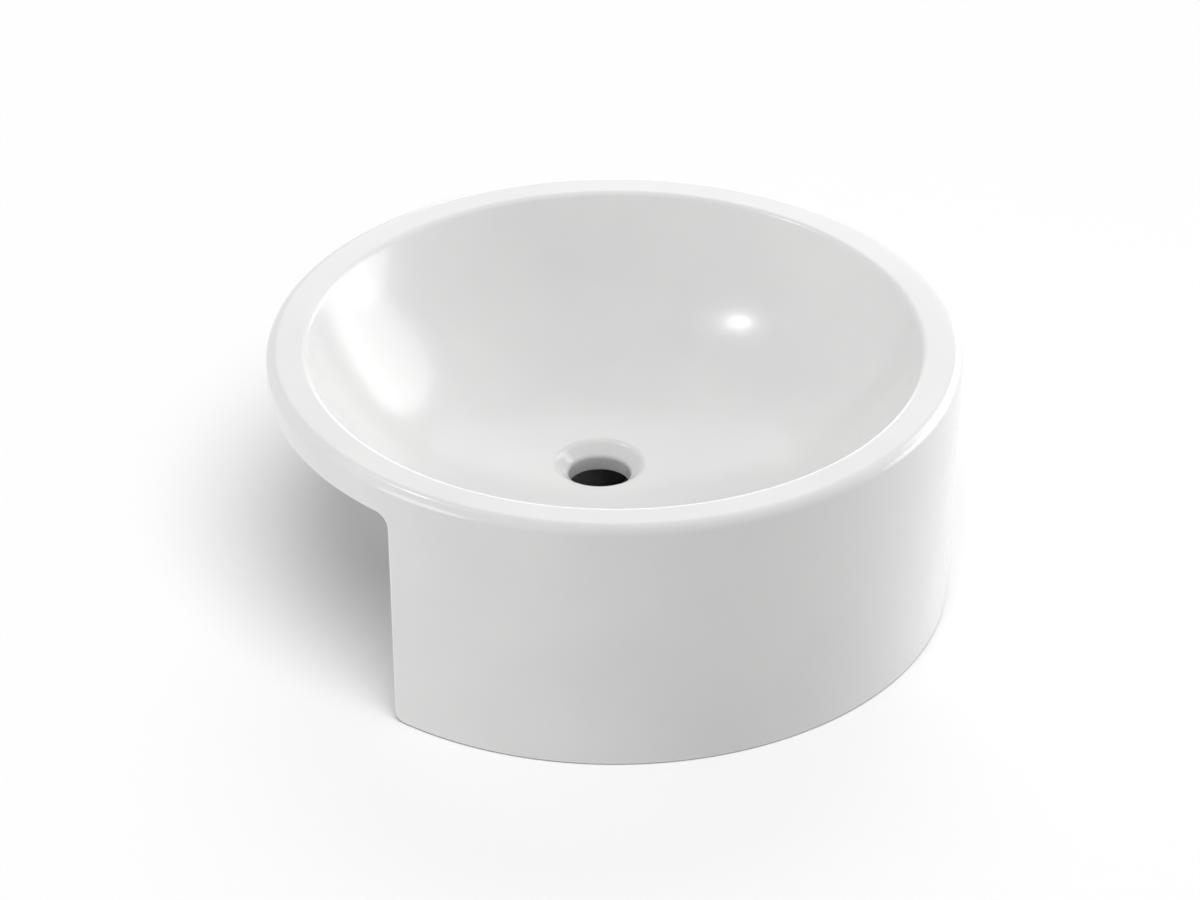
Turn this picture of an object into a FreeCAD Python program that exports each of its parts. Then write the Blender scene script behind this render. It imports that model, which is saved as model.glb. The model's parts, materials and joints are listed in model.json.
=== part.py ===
"""Round semi recessed basin: a glazed ceramic body and its two worktop clamps.

The drum at the front hangs before the worktop.  Behind a flat back wall only the
rim and the bowl go on, and the rim rests on the worktop there.  Each clamp is a
stud in a nylon plug in the ceramic, with a stepped bracket, a rubber pad, a washer
and a wing nut that pull the rim down onto the worktop.  The brackets are drawn turned
in under the bowl, as they are while the basin is lowered into the worktop's cut-out.

Millimetres.  +Z is up, the front is towards -Y, and the origin is on the drum's axis
at the foot.
"""

import FreeCAD
import Part

import math
import os

Vector = FreeCAD.Vector

# Basin body, outside
HEIGHT = 200.0  # foot to rim
RIM_RADIUS = 250.0  # the widest radius, where the top edge starts to round
DRAFT_DEG = 2.0  # the side leans in towards the foot
RIM_THICKNESS = 27.0  # top of the rim to its underside
TOP_EDGE_R = 8.0  # outer top edge
BACK_WALL_Y = 62.0  # flat back of the drum, from the axis
BACK_TOP_R = 10.0  # hollow corner from the rim's underside to the back wall
BACK_FOOT_R = 8.0  # corner from the back wall to the foot
EDGE_R = 3.0  # rounding of the recess's edges and of the foot
SKIRT_WALL = 12.0  # wall of the drum and of its back
SKIRT_CORNER_R = 14.0  # inner upright corners of the drum

# Bowl
OPENING_RADIUS = 225.0  # inner edge of the rim's flat land
INNER_EDGE_R = 5.5  # rounding from the land into the bowl
BOWL_DEPTH = 104.0  # rim to the edge of the waste recess
BOWL_WALL_DEG = 60.0  # slope of the bowl just under the rim
BOWL_FLOOR_DEG = 4.0  # fall of the floor at the waste recess
BOWL_FLOOR_R = 330.0  # curve of the floor
BOWL_WALL = 12.0  # thickness of the bowl
BOWL_SECTIONS = 7  # circles that each of the bowl's two curves passes through

# Waste
WASTE_OFFSET = 12.0  # waste hole behind the drum's axis
WASTE_RADIUS = 22.5  # hole for a 45 mm waste
RECESS_RADIUS = 32.0  # recess that the waste's flange sits in
RECESS_DEPTH = 8.5
WASTE_LENGTH = 11.0  # straight wall of the hole
WASTE_BOSS_RADIUS = 36.0  # flat underside round the hole

# Worktop that the clamps hold
WORKTOP_THICKNESS = 30.0  # as drawn at rest

# Ceramic lugs for the clamps
CLAMP_ANGLE = 28.0  # degrees from the back, +Y, to each clamp
CLAMP_TURN = 90.0  # degrees that each bracket is turned in, towards the back
CLAMP_RADIUS = 208.0  # stud from the drum's axis
LUG_RADIUS = 12.0
LUG_BELOW_RIM = 35.0  # lug's face under the rim's underside

# Plug, stud
PLUG_RADIUS = 6.0
PLUG_LENGTH = 13.0  # inside the lug
PLUG_FLANGE_RADIUS = 8.0
PLUG_FLANGE = 1.5
PLUG_CLEARANCE = 0.05
STUD_RADIUS = 3.0  # an M6 thread's outer size
STUD_IN_LUG = 11.0
STUD_LENGTH = 45.0
STUD_CHAMFER = 0.8
STUD_CLEARANCE = 0.05

# Clamp bracket
BRACKET_WIDTH = 18.0
BRACKET_THICKNESS = 3.0
BRACKET_STEP = 9.0  # rise from the stud's arm to the worktop's arm
BRACKET_WEB_AT = 15.0  # middle of the upright web, from the stud
BRACKET_REACH = 40.0  # stud to the outer end
BRACKET_TAIL = 10.0  # stud to the inner end
BRACKET_HOLE_CLEARANCE = 0.1
BRACKET_BEND_R = 2.0  # inside of the bends

# Rubber pad
PAD_THICKNESS = 4.0
PAD_LENGTH = 16.0
PAD_INSET = 1.0  # pad's edge inside the arm's edge
PAD_CORNER_R = 2.0

# Washer and wing nut
STACK_GAP = 0.3  # between bracket, washer and nut
WASHER_RADIUS = 7.0
WASHER_THICKNESS = 1.6
NUT_HUB_RADIUS = 6.0
NUT_HUB_TIP_RADIUS = 5.0
NUT_HUB_HEIGHT = 7.0
NUT_CLEARANCE = 0.05
WING_SPAN = 16.0  # nut's axis to the wing's tip
WING_THICKNESS = 2.6
WING_TIP_R = 4.5
WING_DROP = 8.5  # nut's top to the middle of the wing's tip

# Worked out from the sizes above
DRAFT = math.radians(DRAFT_DEG)
WALL_SLOPE = math.radians(BOWL_WALL_DEG)
FLOOR_SLOPE = math.radians(BOWL_FLOOR_DEG)
UNDERSIDE_Z = HEIGHT - RIM_THICKNESS
EDGE_CENTRE_RADIUS = RIM_RADIUS - TOP_EDGE_R
SIDE_TOP_RADIUS = EDGE_CENTRE_RADIUS + TOP_EDGE_R * math.cos(DRAFT)
SIDE_TOP_Z = HEIGHT - TOP_EDGE_R - TOP_EDGE_R * math.sin(DRAFT)
MOUTH_RADIUS = OPENING_RADIUS - INNER_EDGE_R * math.sin(WALL_SLOPE)
MOUTH_DEPTH = INNER_EDGE_R * (1.0 - math.cos(WALL_SLOPE))
WASTE_TOP_DEPTH = BOWL_DEPTH + RECESS_DEPTH
WASTE_END_DEPTH = WASTE_TOP_DEPTH + WASTE_LENGTH
LUG_FACE_Z = UNDERSIDE_Z - LUG_BELOW_RIM
PAD_TOP_Z = UNDERSIDE_Z - WORKTOP_THICKNESS
OUTER_ARM_TOP_Z = PAD_TOP_Z - PAD_THICKNESS
INNER_ARM_TOP_Z = OUTER_ARM_TOP_Z - BRACKET_STEP
WASHER_TOP_Z = INNER_ARM_TOP_Z - BRACKET_THICKNESS - STACK_GAP
NUT_TOP_Z = WASHER_TOP_Z - WASHER_THICKNESS - STACK_GAP
BEYOND = 10.0  # how far a cutting tool runs past what it cuts
CLAMP_SIDES = {"left": 1.0, "right": -1.0}


def line(start, end):
    """Return a straight edge."""
    return Part.LineSegment(start, end).toShape()


def arc(start, middle, end):
    """Return an arc edge through three points."""
    return Part.Arc(start, middle, end).toShape()


def corner_arc(point, centre_a, centre_b, radius, start_deg, end_deg):
    """Return an arc about (centre_a, centre_b) in the plane that point() draws in."""
    def at(angle_deg):
        angle = math.radians(angle_deg)
        return point(centre_a + radius * math.cos(angle), centre_b + radius * math.sin(angle))
    return arc(at(start_deg), at(0.5 * (start_deg + end_deg)), at(end_deg))


def radial(radius, height):
    """Return a point of a profile that turns about the Z axis."""
    return Vector(radius, 0.0, height)


def turned(edges):
    """Return the solid that a closed profile sweeps about the Z axis."""
    face = Part.Face(Part.Wire(edges))
    return face.revolve(Vector(0, 0, 0), Vector(0, 0, 1), 360.0)


def polygon(points):
    """Return the edges of a closed outline."""
    return [line(a, b) for a, b in zip(points, points[1:] + points[:1])]


def side_radius(height):
    """Return the radius of the drum's leaning side at a height."""
    return SIDE_TOP_RADIUS - (SIDE_TOP_Z - height) * math.tan(DRAFT)


def full_drum():
    """Return the drum before anything is taken out of it."""
    foot = radial(side_radius(0.0), 0.0)
    side_top = radial(SIDE_TOP_RADIUS, SIDE_TOP_Z)
    land_edge = radial(EDGE_CENTRE_RADIUS, HEIGHT)
    rounding = corner_arc(radial, EDGE_CENTRE_RADIUS, HEIGHT - TOP_EDGE_R, TOP_EDGE_R,
                          -DRAFT_DEG, 90.0)
    return turned([
        line(radial(0.0, 0.0), foot),
        line(foot, side_top),
        rounding,
        line(land_edge, radial(0.0, HEIGHT)),
        line(radial(0.0, HEIGHT), radial(0.0, 0.0)),
    ])


def recess_tool():
    """Return what the worktop's recess removes behind the back wall, under the rim."""
    half_width = RIM_RADIUS + BEYOND

    def across(y, z):
        return Vector(-half_width, y, z)

    back = RIM_RADIUS + BEYOND
    edges = [
        line(across(BACK_WALL_Y - BACK_FOOT_R, -BEYOND), across(back, -BEYOND)),
        line(across(back, -BEYOND), across(back, UNDERSIDE_Z)),
        line(across(back, UNDERSIDE_Z), across(BACK_WALL_Y + BACK_TOP_R, UNDERSIDE_Z)),
        corner_arc(across, BACK_WALL_Y + BACK_TOP_R, UNDERSIDE_Z - BACK_TOP_R, BACK_TOP_R,
                   90.0, 180.0),
        line(across(BACK_WALL_Y, UNDERSIDE_Z - BACK_TOP_R), across(BACK_WALL_Y, BACK_FOOT_R)),
        corner_arc(across, BACK_WALL_Y - BACK_FOOT_R, BACK_FOOT_R, BACK_FOOT_R, 0.0, -90.0),
        line(across(BACK_WALL_Y - BACK_FOOT_R, 0.0), across(BACK_WALL_Y - BACK_FOOT_R, -BEYOND)),
    ]
    return Part.Face(Part.Wire(edges)).extrude(Vector(2.0 * half_width, 0, 0))


def on_side(edge):
    """Say whether an edge lies on the drum's leaning side, below its top rounding."""
    for share in (0.1, 0.5, 0.9):
        first, last = edge.ParameterRange
        point = edge.valueAt(first + share * (last - first))
        if point.z > SIDE_TOP_Z - 1.0:
            return False
        if abs(math.hypot(point.x, point.y) - side_radius(point.z)) > 0.01:
            return False
    return True


def drum_with_recess():
    """Return the drum with the worktop's recess cut out and its edges rounded."""
    drum = full_drum().cut(recess_tool())
    loop = [edge for edge in drum.Edges if on_side(edge) and not is_seam(edge)]
    return drum.makeFillet(EDGE_R, loop)


def is_seam(edge):
    """Say whether an edge is the straight line where the side's surface closes."""
    first, last = edge.ParameterRange
    start = edge.valueAt(first)
    end = edge.valueAt(last)
    turn = abs(math.atan2(start.y, start.x) - math.atan2(end.y, end.x))
    return turn < 1e-6 and abs(start.y) < 1e-3


def skirt_cavity():
    """Return the hollow inside the drum, open at the foot."""
    inner_foot = side_radius(-BEYOND) - SKIRT_WALL
    inner_top = side_radius(UNDERSIDE_Z) - SKIRT_WALL
    hollow = turned(polygon([
        radial(0.0, -BEYOND),
        radial(inner_foot, -BEYOND),
        radial(inner_top, UNDERSIDE_Z),
        radial(0.0, UNDERSIDE_Z),
    ]))
    keep = Part.makeBox(2.0 * RIM_RADIUS, RIM_RADIUS + BACK_WALL_Y - SKIRT_WALL,
                        HEIGHT + BEYOND, Vector(-RIM_RADIUS, -RIM_RADIUS, -BEYOND))
    hollow = hollow.common(keep)
    upright = [edge for edge in hollow.Edges if is_cavity_corner(edge)]
    return hollow.makeFillet(SKIRT_CORNER_R, upright)


def is_cavity_corner(edge):
    """Say whether an edge is where the cavity's round side meets its flat back."""
    middle = edge.CenterOfMass
    box = edge.BoundBox
    on_back = abs(middle.y - (BACK_WALL_Y - SKIRT_WALL)) < 0.01
    return on_back and abs(middle.x) > 0.5 * RIM_RADIUS and box.ZLength > 0.5 * UNDERSIDE_Z


def bowl_curves():
    """Return the bowl's two tangent arcs as (centre radius, centre depth, radius, from, to).

    The floor's arc starts at the waste recess and the wall's arc ends under the rim.
    The slope where they meet is found by halving, because both ends are given.
    """
    run = MOUTH_RADIUS - RECESS_RADIUS
    rise = BOWL_DEPTH - MOUTH_DEPTH

    def wall_arc_radius(meeting):
        flat = BOWL_FLOOR_R * (math.sin(meeting) - math.sin(FLOOR_SLOPE))
        return (run - flat) / (math.sin(WALL_SLOPE) - math.sin(meeting))

    def climbed(meeting):
        floor_part = BOWL_FLOOR_R * (math.cos(FLOOR_SLOPE) - math.cos(meeting))
        wall_part = wall_arc_radius(meeting) * (math.cos(meeting) - math.cos(WALL_SLOPE))
        return floor_part + wall_part

    low, high = FLOOR_SLOPE, 0.9 * WALL_SLOPE
    while high - low > 1e-9:
        middle = 0.5 * (low + high)
        if climbed(middle) > rise:
            low = middle
        else:
            high = middle
    meeting = low
    wall_r = wall_arc_radius(meeting)
    floor_centre = (RECESS_RADIUS - BOWL_FLOOR_R * math.sin(FLOOR_SLOPE),
                    BOWL_DEPTH - BOWL_FLOOR_R * math.cos(FLOOR_SLOPE))
    wall_centre = (MOUTH_RADIUS - wall_r * math.sin(WALL_SLOPE),
                   MOUTH_DEPTH - wall_r * math.cos(WALL_SLOPE))
    return [
        (floor_centre[0], floor_centre[1], BOWL_FLOOR_R, FLOOR_SLOPE, meeting),
        (wall_centre[0], wall_centre[1], wall_r, meeting, WALL_SLOPE),
    ]


def drift(depth):
    """Return how far the bowl's circles have moved back towards the waste at a depth."""
    share = max(0.0, (depth - MOUTH_DEPTH) / (BOWL_DEPTH - MOUTH_DEPTH))
    return WASTE_OFFSET * min(1.0, share) ** 2


def bowl_sections(thickness):
    """Return (radius, depth) down the bowl, that far outside its inner surface."""
    sections = []
    for centre_radius, centre_depth, radius, start, end in reversed(bowl_curves()):
        for index in range(BOWL_SECTIONS):
            slope = end + (start - end) * index / (BOWL_SECTIONS - 1)
            reach = radius + thickness
            section = (centre_radius + reach * math.sin(slope),
                       centre_depth + reach * math.cos(slope))
            if not sections or section[1] - sections[-1][1] > 1e-6:
                sections.append(section)
    return sections


def bowl_solid(thickness):
    """Return the bowl as a solid between its mouth and the edge of the waste recess."""
    circles = []
    for radius, depth in bowl_sections(thickness):
        centre = Vector(0.0, drift(depth), HEIGHT - depth)
        circle = Part.Circle(centre, Vector(0, 0, 1), radius)
        circles.append(Part.Wire(circle.toShape()))
    return Part.makeLoft(circles, True, False)


def mouth_tool():
    """Return what the rounded inner edge of the rim removes above the bowl."""
    rounding = corner_arc(radial, OPENING_RADIUS, HEIGHT - INNER_EDGE_R, INNER_EDGE_R,
                          90.0, 90.0 + BOWL_WALL_DEG)
    return turned([
        line(radial(0.0, HEIGHT - MOUTH_DEPTH), radial(0.0, HEIGHT)),
        line(radial(0.0, HEIGHT), radial(OPENING_RADIUS, HEIGHT)),
        rounding,
        line(radial(MOUTH_RADIUS, HEIGHT - MOUTH_DEPTH), radial(0.0, HEIGHT - MOUTH_DEPTH)),
    ])


def waste_tool():
    """Return what the waste's recess and hole remove from the floor of the bowl."""
    bottom = HEIGHT - WASTE_END_DEPTH - BEYOND
    tool = turned(polygon([
        radial(0.0, HEIGHT - BOWL_DEPTH),
        radial(RECESS_RADIUS, HEIGHT - BOWL_DEPTH),
        radial(WASTE_RADIUS, HEIGHT - WASTE_TOP_DEPTH),
        radial(WASTE_RADIUS, bottom),
        radial(0.0, bottom),
    ]))
    tool.translate(Vector(0, WASTE_OFFSET, 0))
    return tool


def waste_boss():
    """Return the thick ring round the waste hole, flat underneath."""
    base = Vector(0, WASTE_OFFSET, HEIGHT - WASTE_END_DEPTH)
    return Part.makeCylinder(WASTE_BOSS_RADIUS, WASTE_END_DEPTH - BOWL_DEPTH, base)


def placed(shape, side, turn_deg=0.0):
    """Return a clamp's piece, drawn about its own stud, moved to its place under the rim.

    A piece is drawn with the stud on the Z axis and outwards along +Y.  side is 1 for the
    clamp on the -X side and -1 for the other, and turn_deg turns the piece about the stud,
    towards the back on both sides.
    """
    moved = shape.copy()
    moved.rotate(Vector(0, 0, 0), Vector(0, 0, 1), -side * turn_deg)
    moved.translate(Vector(0, CLAMP_RADIUS, 0))
    moved.rotate(Vector(0, 0, 0), Vector(0, 0, 1), side * CLAMP_ANGLE)
    return moved


def lug():
    """Return the ceramic lug that a plug goes into, drawn about its stud."""
    return Part.makeCylinder(LUG_RADIUS, UNDERSIDE_Z - LUG_FACE_Z, Vector(0, 0, LUG_FACE_Z))


def lug_hole():
    """Return the blind hole in a lug, drawn about its stud."""
    depth = PLUG_LENGTH + PLUG_CLEARANCE
    start = Vector(0, 0, LUG_FACE_Z - BEYOND)
    return Part.makeCylinder(PLUG_RADIUS + PLUG_CLEARANCE, depth + BEYOND, start)


def ceramic_body():
    """Return the whole fired body: rim, bowl, drum, waste boss and lugs are one casting."""
    body = drum_with_recess().cut(skirt_cavity())
    bowl_outside = bowl_solid(BOWL_WALL)
    body = body.fuse([bowl_outside, waste_boss()])
    for side in CLAMP_SIDES.values():
        body = body.fuse(placed(lug(), side))
    body = body.cut(mouth_tool().fuse(bowl_solid(0.0)))
    body = body.cut(waste_tool())
    for side in CLAMP_SIDES.values():
        body = body.cut(placed(lug_hole(), side))
    return body.removeSplitter()


def plug():
    """Return the nylon plug in a lug, with its flange against the lug's face."""
    shank = Part.makeCylinder(PLUG_RADIUS, PLUG_LENGTH, Vector(0, 0, LUG_FACE_Z))
    flange_z = LUG_FACE_Z - PLUG_FLANGE
    flange = Part.makeCylinder(PLUG_FLANGE_RADIUS, PLUG_FLANGE, Vector(0, 0, flange_z))
    hole_length = PLUG_FLANGE + STUD_IN_LUG + STUD_CLEARANCE
    hole = Part.makeCylinder(STUD_RADIUS + STUD_CLEARANCE, hole_length + BEYOND,
                             Vector(0, 0, flange_z - BEYOND))
    return shank.fuse(flange).cut(hole)


def stud():
    """Return the threaded stud as a bar of the thread's outer size, chamfered at its end."""
    top = LUG_FACE_Z + STUD_IN_LUG
    bottom = top - STUD_LENGTH
    return turned(polygon([
        radial(0.0, bottom),
        radial(STUD_RADIUS - STUD_CHAMFER, bottom),
        radial(STUD_RADIUS, bottom + STUD_CHAMFER),
        radial(STUD_RADIUS, top),
        radial(0.0, top),
    ]))


def bracket():
    """Return the stepped bracket: one arm under the lug, the other under the worktop."""
    inner_top = INNER_ARM_TOP_Z
    outer_top = OUTER_ARM_TOP_Z
    half = 0.5 * BRACKET_THICKNESS
    start = Vector(-0.5 * BRACKET_WIDTH, 0, 0)

    def side(y, z):
        return start + Vector(0, y, z)

    web_in = BRACKET_WEB_AT - half
    web_out = BRACKET_WEB_AT + half
    outline = polygon([
        side(-BRACKET_TAIL, inner_top),
        side(-BRACKET_TAIL, inner_top - BRACKET_THICKNESS),
        side(web_out, inner_top - BRACKET_THICKNESS),
        side(web_out, outer_top - BRACKET_THICKNESS),
        side(BRACKET_REACH, outer_top - BRACKET_THICKNESS),
        side(BRACKET_REACH, outer_top),
        side(web_in, outer_top),
        side(web_in, inner_top),
    ])
    strip = Part.Face(Part.Wire(outline)).extrude(Vector(BRACKET_WIDTH, 0, 0))
    inside = [edge for edge in strip.Edges if is_bend(edge, web_in, inner_top)
              or is_bend(edge, web_out, outer_top - BRACKET_THICKNESS)]
    strip = strip.makeFillet(BRACKET_BEND_R, inside)
    outside = [edge for edge in strip.Edges if is_bend(edge, web_out, inner_top - BRACKET_THICKNESS)
               or is_bend(edge, web_in, outer_top)]
    strip = strip.makeFillet(BRACKET_BEND_R + BRACKET_THICKNESS, outside)
    hole = Part.makeCylinder(STUD_RADIUS + BRACKET_HOLE_CLEARANCE, 2.0 * BEYOND,
                             Vector(0, 0, inner_top - BEYOND))
    return strip.cut(hole)


def is_bend(edge, y, z):
    """Say whether an edge runs across the bracket at a corner of its outline."""
    middle = edge.CenterOfMass
    return abs(middle.y - y) < 0.01 and abs(middle.z - z) < 0.01


def pad():
    """Return the rubber pad on the bracket's outer arm."""
    width = BRACKET_WIDTH - 2.0 * PAD_INSET
    low = Vector(-0.5 * width, BRACKET_REACH - PAD_INSET - PAD_LENGTH, OUTER_ARM_TOP_Z)
    block = Part.makeBox(width, PAD_LENGTH, PAD_THICKNESS, low)
    upright = [edge for edge in block.Edges if edge.BoundBox.ZLength > 0.5 * PAD_THICKNESS]
    return block.makeFillet(PAD_CORNER_R, upright)


def washer():
    """Return the plain washer under the bracket."""
    low = Vector(0, 0, WASHER_TOP_Z - WASHER_THICKNESS)
    disc = Part.makeCylinder(WASHER_RADIUS, WASHER_THICKNESS, low)
    hole = Part.makeCylinder(STUD_RADIUS + BRACKET_HOLE_CLEARANCE, WASHER_THICKNESS, low)
    return disc.cut(hole)


def wing(side):
    """Return one wing of the nut, on the side of +X or -X."""
    tip_x = side * (WING_SPAN - WING_TIP_R)
    tip_z = NUT_TOP_Z - WING_DROP
    root_top = NUT_TOP_Z - 2.0
    root_low = NUT_TOP_Z - NUT_HUB_HEIGHT + 0.5
    start = Vector(0, -0.5 * WING_THICKNESS, 0)
    through = Vector(0, WING_THICKNESS, 0)
    reach = side * (NUT_HUB_TIP_RADIUS - 0.8)
    outline = polygon([
        start + Vector(reach, 0, root_top),
        start + Vector(tip_x, 0, tip_z + WING_TIP_R),
        start + Vector(tip_x - side * WING_TIP_R * 0.7, 0, tip_z - WING_TIP_R * 0.7),
        start + Vector(reach, 0, root_low),
    ])
    blade = Part.Face(Part.Wire(outline)).extrude(through)
    tip = Part.makeCylinder(WING_TIP_R, WING_THICKNESS, start + Vector(tip_x, 0, tip_z),
                            Vector(0, 1, 0))
    return blade.fuse(tip)


def wing_nut():
    """Return the wing nut that draws the bracket up."""
    low = NUT_TOP_Z - NUT_HUB_HEIGHT
    hub = Part.makeCone(NUT_HUB_TIP_RADIUS, NUT_HUB_RADIUS, NUT_HUB_HEIGHT, Vector(0, 0, low))
    hole = Part.makeCylinder(STUD_RADIUS + NUT_CLEARANCE, NUT_HUB_HEIGHT + 2.0 * BEYOND,
                             Vector(0, 0, low - BEYOND))
    return hub.fuse([wing(1.0), wing(-1.0)]).cut(hole).removeSplitter()


def save(name, shape):
    """Write one piece as a STEP file named after its node."""
    solids = [solid for solid in shape.Solids]
    print(f"{name}: {len(solids)} solid, {shape.Volume / 1000.0:.1f} cm3, valid {shape.isValid()}")
    shape.exportStep(f"parts/{name}.step")


def main():
    """Build every piece of the basin."""
    os.makedirs("parts", exist_ok=True)
    save("ceramic_body", ceramic_body())
    makers = {
        "plug": (plug, 0.0),
        "stud": (stud, 0.0),
        "clamp_bracket": (bracket, CLAMP_TURN),
        "clamp_pad": (pad, CLAMP_TURN),
        "washer": (washer, 0.0),
        "wing_nut": (wing_nut, 0.0),
    }
    for name, (make, turn_deg) in makers.items():
        shape = make()
        for place, side in CLAMP_SIDES.items():
            save(f"{name}_{place}", placed(shape, side, turn_deg))


main()
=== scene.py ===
"""A round semi recessed basin in white glazed ceramic, with the clamps that hold its rim to a worktop."""

import json
import logging
import math
from dataclasses import dataclass, field
from enum import Enum

import bmesh
import bpy
from mathutils import Matrix, Vector

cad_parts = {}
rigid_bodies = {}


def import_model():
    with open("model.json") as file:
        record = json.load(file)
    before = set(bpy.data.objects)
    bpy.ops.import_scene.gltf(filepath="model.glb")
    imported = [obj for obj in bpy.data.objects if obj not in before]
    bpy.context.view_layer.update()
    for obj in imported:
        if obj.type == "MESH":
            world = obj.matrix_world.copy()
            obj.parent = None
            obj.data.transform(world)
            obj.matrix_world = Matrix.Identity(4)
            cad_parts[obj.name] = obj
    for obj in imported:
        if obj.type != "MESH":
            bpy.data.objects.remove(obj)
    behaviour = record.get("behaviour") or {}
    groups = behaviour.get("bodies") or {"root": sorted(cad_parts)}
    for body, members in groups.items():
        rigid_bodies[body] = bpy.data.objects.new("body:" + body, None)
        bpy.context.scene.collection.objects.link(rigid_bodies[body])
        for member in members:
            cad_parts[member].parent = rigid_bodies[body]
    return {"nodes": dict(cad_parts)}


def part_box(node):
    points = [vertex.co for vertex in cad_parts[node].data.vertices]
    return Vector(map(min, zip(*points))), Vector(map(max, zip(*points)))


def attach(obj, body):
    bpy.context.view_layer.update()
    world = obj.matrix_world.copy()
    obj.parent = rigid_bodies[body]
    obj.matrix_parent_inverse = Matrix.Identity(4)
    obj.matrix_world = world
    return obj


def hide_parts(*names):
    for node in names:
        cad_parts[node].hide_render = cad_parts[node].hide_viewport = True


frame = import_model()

LOG = logging.getLogger("basin")
TO_METRES = 0.001
IMAGE_WIDTH = 1200.0
IMAGE_HEIGHT = 900.0
UP = Vector((0.0, 0.0, 1.0))
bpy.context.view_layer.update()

# The values between which most of a noise pattern lies
PATTERN_LOW = 0.35
PATTERN_HIGH = 0.65

# Millimetres within which points are merged
FINE_MERGE = 0.001
COPY_MERGE = 0.002
SHEET_MERGE = 0.02
SEAM_MERGE = 0.03

# Millimetres within which a point counts as level with another
TOUCH = 0.01
LEVEL = 0.05

Pair = tuple[float, float]
Profile = list[Pair]
Colour = tuple[float, float, float]
Sockets = tuple[tuple[str, float | Colour], ...]


class Join(Enum):
    """What combine does with its second solid."""

    CUT = "DIFFERENCE"
    ADD = "UNION"


class Place(Enum):
    """Where a clamp sits under the back of the rim: its angle from the back to the left, in degrees."""

    LEFT = ("left", 28.0)
    RIGHT = ("right", -28.0)

    @property
    def label(self) -> str:
        """The word that ends the names of this clamp's pieces."""
        return self.value[0]

    @property
    def angle(self) -> float:
        """The clamp's angle from the back, in radians."""
        return math.radians(self.value[1])


# ---------------------------------------------------------------- node helpers


@dataclass(frozen=True)
class Relief:
    """A relief of scale cells in a metre and detail finer layers, depth metres deep."""

    scale: float
    detail: float
    depth: float
    strength: float


class Nodes:
    """A node tree, with short ways to add and join nodes."""

    def __init__(self, owner: bpy.types.Material | bpy.types.World) -> None:
        """Empty a node tree.

        Args:
            owner: The material or world that the tree belongs to.
        """
        owner.use_nodes = True
        self.tree = owner.node_tree
        self.tree.nodes.clear()

    def add(self, kind: str) -> bpy.types.Node:
        """Add a node of a type, such as "ShaderNodeTexNoise"."""
        return self.tree.nodes.new(kind)

    def join(self, source: bpy.types.NodeSocket, target: bpy.types.NodeSocket) -> None:
        """Link one socket to another."""
        self.tree.links.new(source, target)

    def coordinates(self) -> bpy.types.NodeSocket:
        """Return the piece's own coordinates, in metres."""
        return self.add("ShaderNodeTexCoord").outputs["Object"]

    def noise(self, scale: float, detail: float,
              stretch: tuple[float, float, float] = (1.0, 1.0, 1.0)) -> bpy.types.NodeSocket:
        """Add a noise pattern.

        Args:
            scale: How many cells there are in a metre.
            detail: How many finer layers it has.
            stretch: The scale along each axis.

        Returns:
            The pattern's value, from 0 to 1.
        """
        mapping = self.add("ShaderNodeMapping")
        mapping.inputs["Scale"].default_value = stretch
        self.join(self.coordinates(), mapping.inputs["Vector"])
        noise = self.add("ShaderNodeTexNoise")
        noise.inputs["Scale"].default_value = scale
        noise.inputs["Detail"].default_value = detail
        self.join(mapping.outputs["Vector"], noise.inputs["Vector"])
        return noise.outputs["Fac"]

    def spread(self, value: bpy.types.NodeSocket, low: float, high: float) -> bpy.types.NodeSocket:
        """Map a pattern's middle values onto a range.

        Args:
            value: The pattern.
            low: What the dark parts become.
            high: What the light parts become.

        Returns:
            The mapped value.
        """
        node = self.add("ShaderNodeMapRange")
        node.inputs["From Min"].default_value = PATTERN_LOW
        node.inputs["From Max"].default_value = PATTERN_HIGH
        node.inputs["To Min"].default_value = low
        node.inputs["To Max"].default_value = high
        self.join(value, node.inputs["Value"])
        return node.outputs["Result"]

    def blend(self, factor: bpy.types.NodeSocket, first: Colour, second: Colour) -> bpy.types.NodeSocket:
        """Mix two colours by a pattern.

        Args:
            factor: 0 gives the first colour and 1 the second.
            first: Linear red, green and blue.
            second: Linear red, green and blue.

        Returns:
            The mixed colour.
        """
        ramp = self.add("ShaderNodeValToRGB")
        ramp.color_ramp.elements[0].color = (*first, 1.0)
        ramp.color_ramp.elements[1].color = (*second, 1.0)
        self.join(factor, ramp.inputs["Fac"])
        return ramp.outputs["Color"]

    def relief(self, layer: Relief, under: bpy.types.NodeSocket | None) -> bpy.types.NodeSocket:
        """Press a layer of relief into a surface.

        Args:
            layer: The relief.
            under: The normal of the layers below it, if any.

        Returns:
            The new normal.
        """
        node = self.add("ShaderNodeBump")
        node.inputs["Strength"].default_value = layer.strength
        node.inputs["Distance"].default_value = layer.depth
        self.join(self.noise(layer.scale, layer.detail), node.inputs["Height"])
        if under is not None:
            self.join(under, node.inputs["Normal"])
        return node.outputs["Normal"]

    def by_sight(self, unseen: bpy.types.NodeSocket, seen: bpy.types.NodeSocket, kind: str) -> None:
        """Show one shader directly, in a gloss or through glass, and light with another.

        Args:
            unseen: The shader for all other light.
            seen: The shader that shows.
            kind: The output node's type.
        """
        path = self.add("ShaderNodeLightPath")
        total = path.outputs["Is Camera Ray"]
        for name in ("Is Glossy Ray", "Is Transmission Ray"):
            added = self.add("ShaderNodeMath")
            added.operation = "ADD"
            added.use_clamp = True
            self.join(total, added.inputs[0])
            self.join(path.outputs[name], added.inputs[1])
            total = added.outputs["Value"]
        mix = self.add("ShaderNodeMixShader")
        for source, target in zip((total, unseen, seen), mix.inputs):
            self.join(source, target)
        self.join(mix.outputs["Shader"], self.add(kind).inputs["Surface"])


# ---------------------------------------------------------------- finishes


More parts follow.
